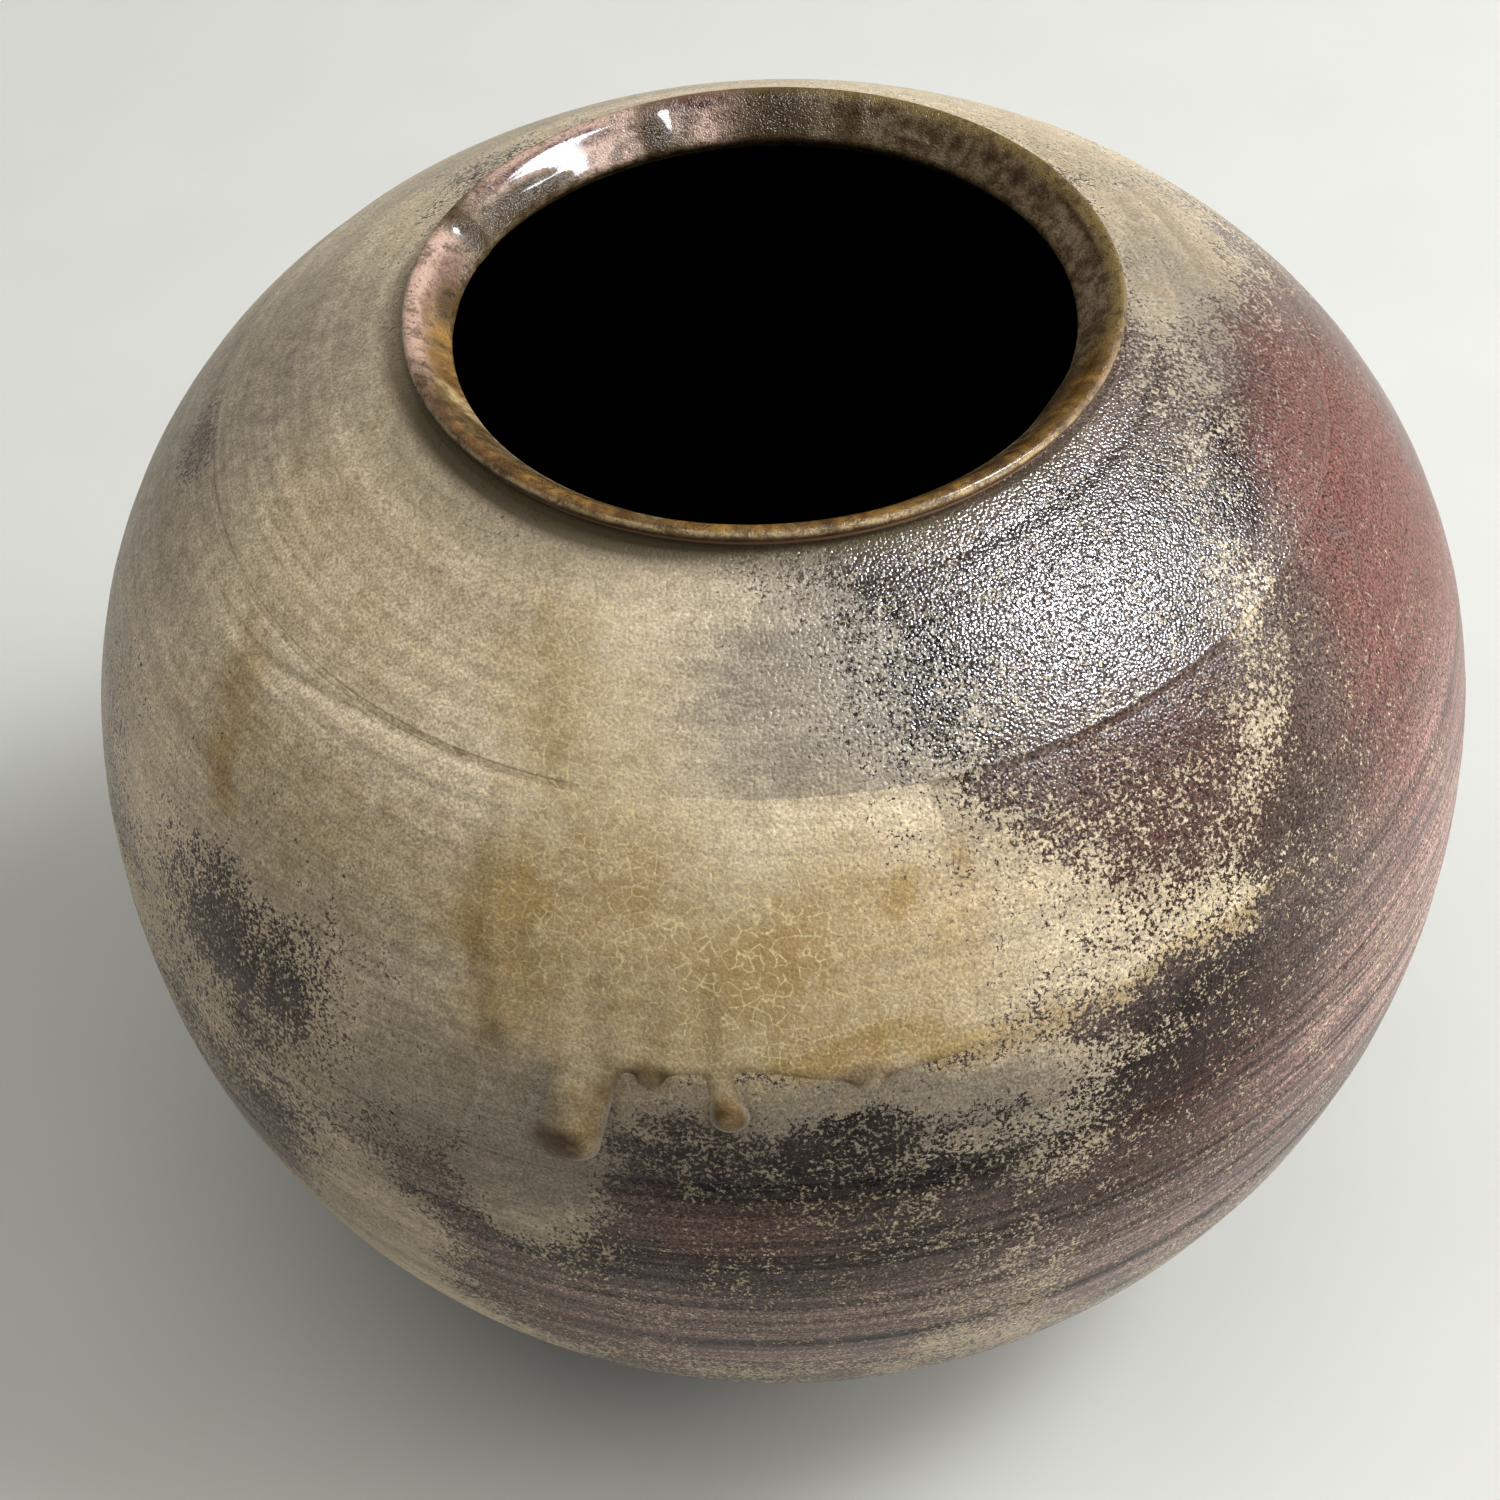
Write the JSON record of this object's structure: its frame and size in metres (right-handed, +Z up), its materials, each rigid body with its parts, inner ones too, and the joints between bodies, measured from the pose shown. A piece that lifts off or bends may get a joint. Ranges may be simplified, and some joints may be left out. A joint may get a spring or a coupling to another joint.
{
  "type": "ikebana vase",
  "caption": "Squat globe-shaped wood-fired stoneware jar with a wide low flared mouth, for ikebana flower arrangements; built in luted stages and glazed with melted ash.",
  "frame": {"origin": "middle of the foot's resting face", "axes": "+Z up along the jar's axis, -Y towards the front where the glaze runs down, +X to the right seen from the front"},
  "size_m": [0.24, 0.24, 0.2028],
  "materials": {
    "bare_clay": "bare, coarse, toasted stoneware",
    "slip": "fired slip",
    "fired_clay": "wood-fired satin surface with fine ash specks",
    "amber_glaze": "glossy amber ash glaze",
    "ash_glaze": "ochre crackled satin ash glaze",
    "dark_lining": "near-black lining"
  },
  "bodies": {
    "root": {"foot_ring": "bare_clay", "foot_luting": "slip", "lower_bowl": "fired_clay", "belly_luting": "slip", "belly_wall": "fired_clay", "shoulder_luting": "slip", "shoulder_dome": "fired_clay", "neck_luting": "slip", "neck_collar": "fired_clay", "rim_glaze": "amber_glaze", "ash_glaze_sheet": "ash_glaze", "inner_glaze": "dark_lining"}
  },
  "joints": []
}
